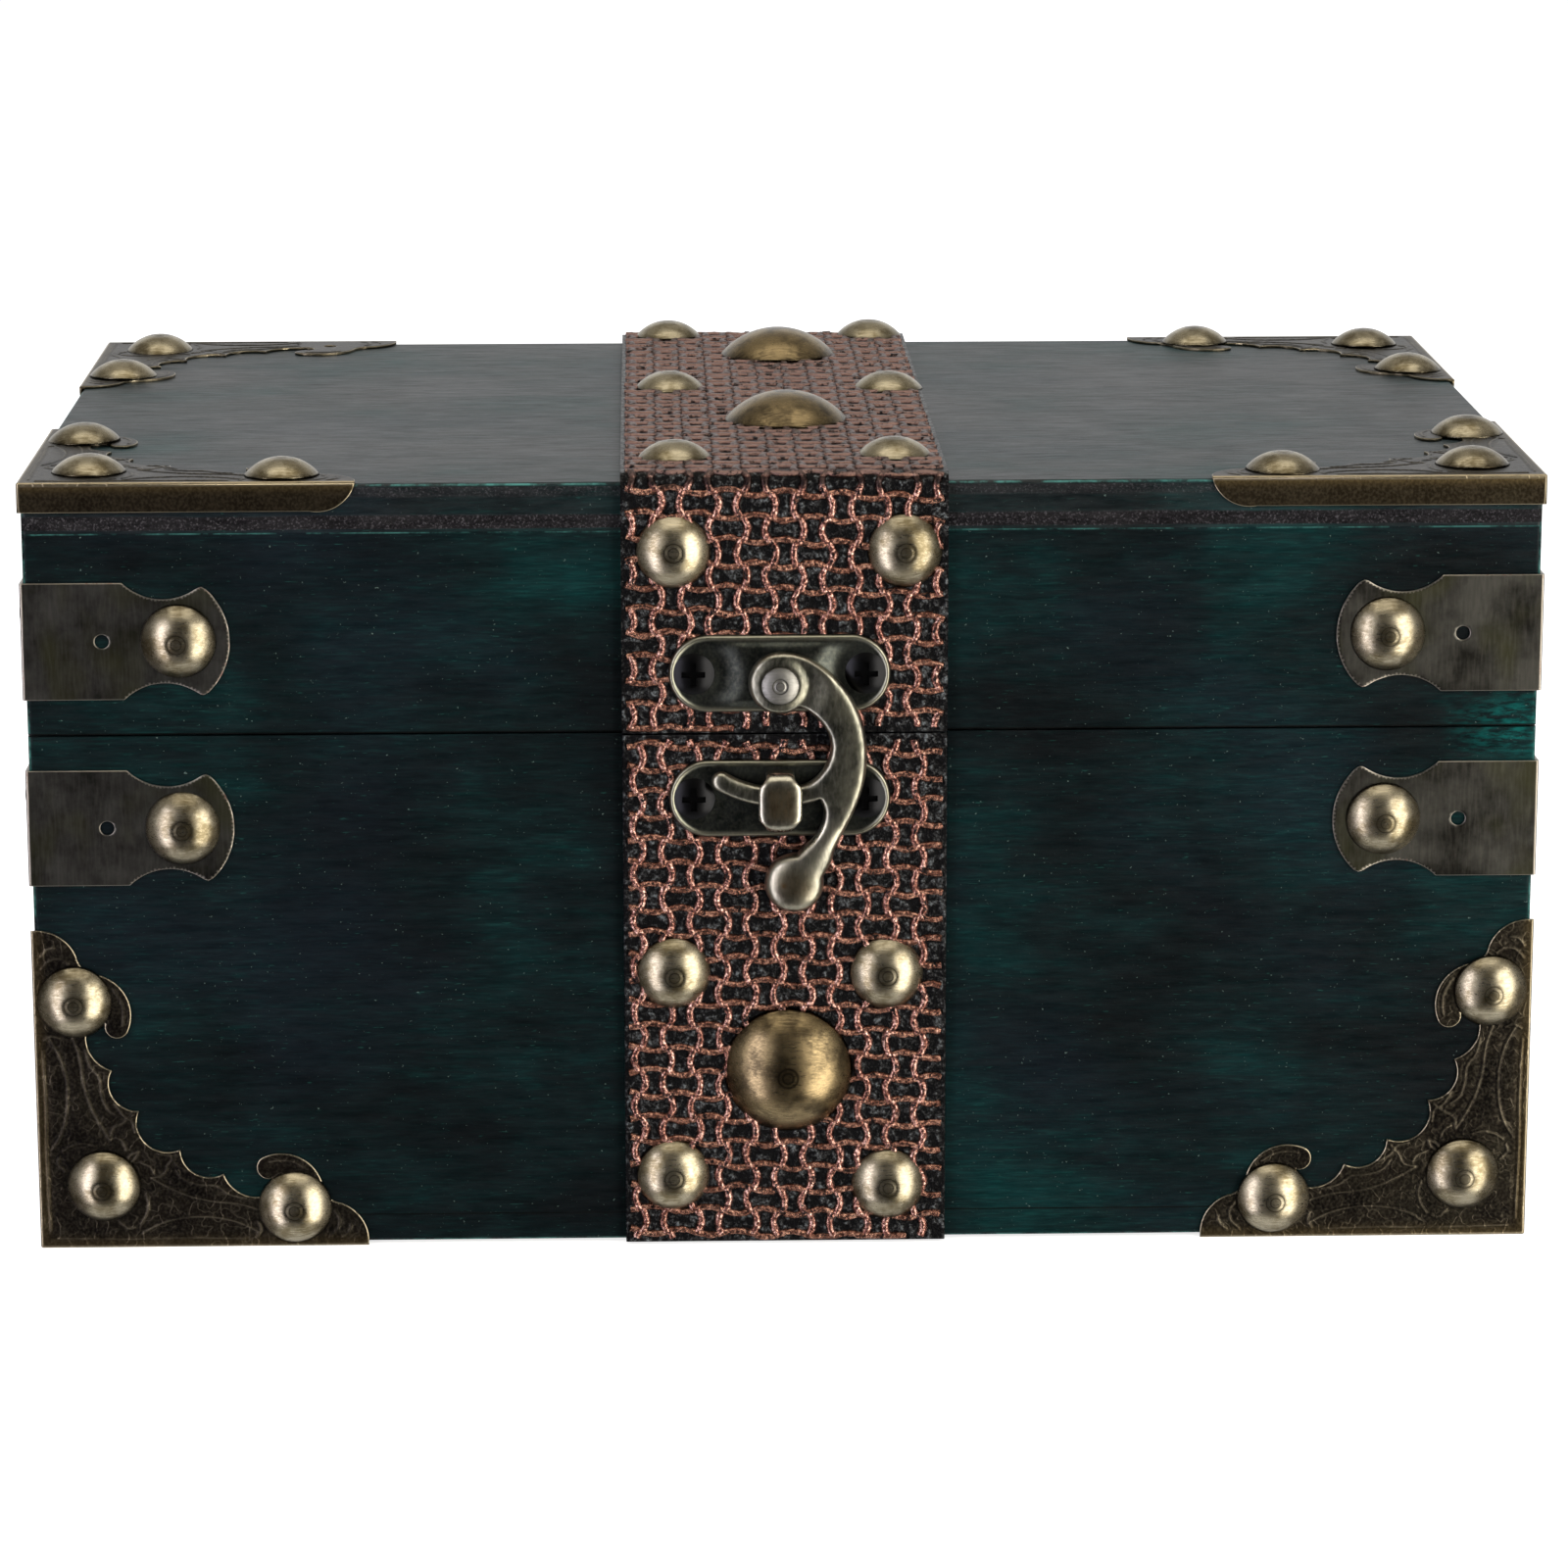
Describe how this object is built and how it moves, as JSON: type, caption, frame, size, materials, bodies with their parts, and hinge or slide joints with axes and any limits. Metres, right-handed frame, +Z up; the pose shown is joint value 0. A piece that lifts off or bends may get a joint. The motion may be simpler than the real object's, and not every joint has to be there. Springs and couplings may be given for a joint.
{
  "type": "treasure chest box",
  "caption": "Small flat-lidded treasure chest of dark stained wood with brass corner plates, edge clips, dome nails, an embossed strap and a swing latch.",
  "frame": {"origin": "centre of the footprint, on the surface the box stands on", "axes": "+X to the right seen from the front, -Y out of the front with the latch, +Z up"},
  "size_m": [0.2366, 0.1562, 0.1261],
  "materials": {
    "stained_wood": "satin",
    "sheet_bronze": "antique satin",
    "nail_brass": "antique polished",
    "dome_brass": "antique brushed",
    "latch_bronze": "antique satin",
    "hinge_bronze": "antique satin",
    "rivet_steel": "brushed",
    "black_screw": "satin",
    "embossed_strap": "embossed, satin"
  },
  "bodies": {
    "box": {"body_back_board": "stained_wood", "body_bottom_board": "stained_wood", "body_clip_nails": "nail_brass", "body_corner_back_left": "sheet_bronze", "body_corner_back_right": "sheet_bronze", "body_corner_front_left": "sheet_bronze", "body_corner_front_right": "sheet_bronze", "body_corner_nails": "nail_brass", "body_edge_clip_back_left": "sheet_bronze", "body_edge_clip_back_right": "sheet_bronze", "body_edge_clip_front_left": "sheet_bronze", "body_edge_clip_front_right": "sheet_bronze", "body_front_board": "stained_wood", "body_hinge_leaf_left": "hinge_bronze", "body_hinge_leaf_right": "hinge_bronze", "body_hinge_screws": "nail_brass", "body_left_board": "stained_wood", "body_right_board": "stained_wood", "body_strap_back": "embossed_strap", "body_strap_front": "embossed_strap", "body_strap_large_nail": "dome_brass", "body_strap_nails": "nail_brass", "hinge_pin_left": "hinge_bronze", "hinge_pin_right": "hinge_bronze", "keeper_plate": "latch_bronze", "keeper_screws": "black_screw"},
    "lid": {"latch_plate": "latch_bronze", "latch_rivet": "rivet_steel", "latch_screws": "black_screw", "lid_back_board": "stained_wood", "lid_clip_nails": "nail_brass", "lid_corner_back_left": "sheet_bronze", "lid_corner_back_right": "sheet_bronze", "lid_corner_front_left": "sheet_bronze", "lid_corner_front_right": "sheet_bronze", "lid_corner_nails": "nail_brass", "lid_edge_clip_back_left": "sheet_bronze", "lid_edge_clip_back_right": "sheet_bronze", "lid_edge_clip_front_left": "sheet_bronze", "lid_edge_clip_front_right": "sheet_bronze", "lid_front_board": "stained_wood", "lid_hinge_leaf_left": "hinge_bronze", "lid_hinge_leaf_right": "hinge_bronze", "lid_hinge_screws": "nail_brass", "lid_left_board": "stained_wood", "lid_right_board": "stained_wood", "lid_strap": "embossed_strap", "lid_strap_large_nails": "dome_brass", "lid_strap_nails": "nail_brass", "lid_top_board": "stained_wood"},
    "arm": {"latch_arm": "latch_bronze"}
  },
  "joints": [
    {"name": "lid_hinge", "type": "hinge", "parent": "box", "child": "lid", "pos_m": [0, 0.07585, 0.08125], "axis": [-1, 0, 0], "range_deg": [0, 100]},
    {"name": "latch_swing", "type": "hinge", "parent": "lid", "child": "arm", "pos_m": [-0.0008, -0.0755, 0.0895], "axis": [0, -1, 0], "range_deg": [0, 100]}
  ]
}
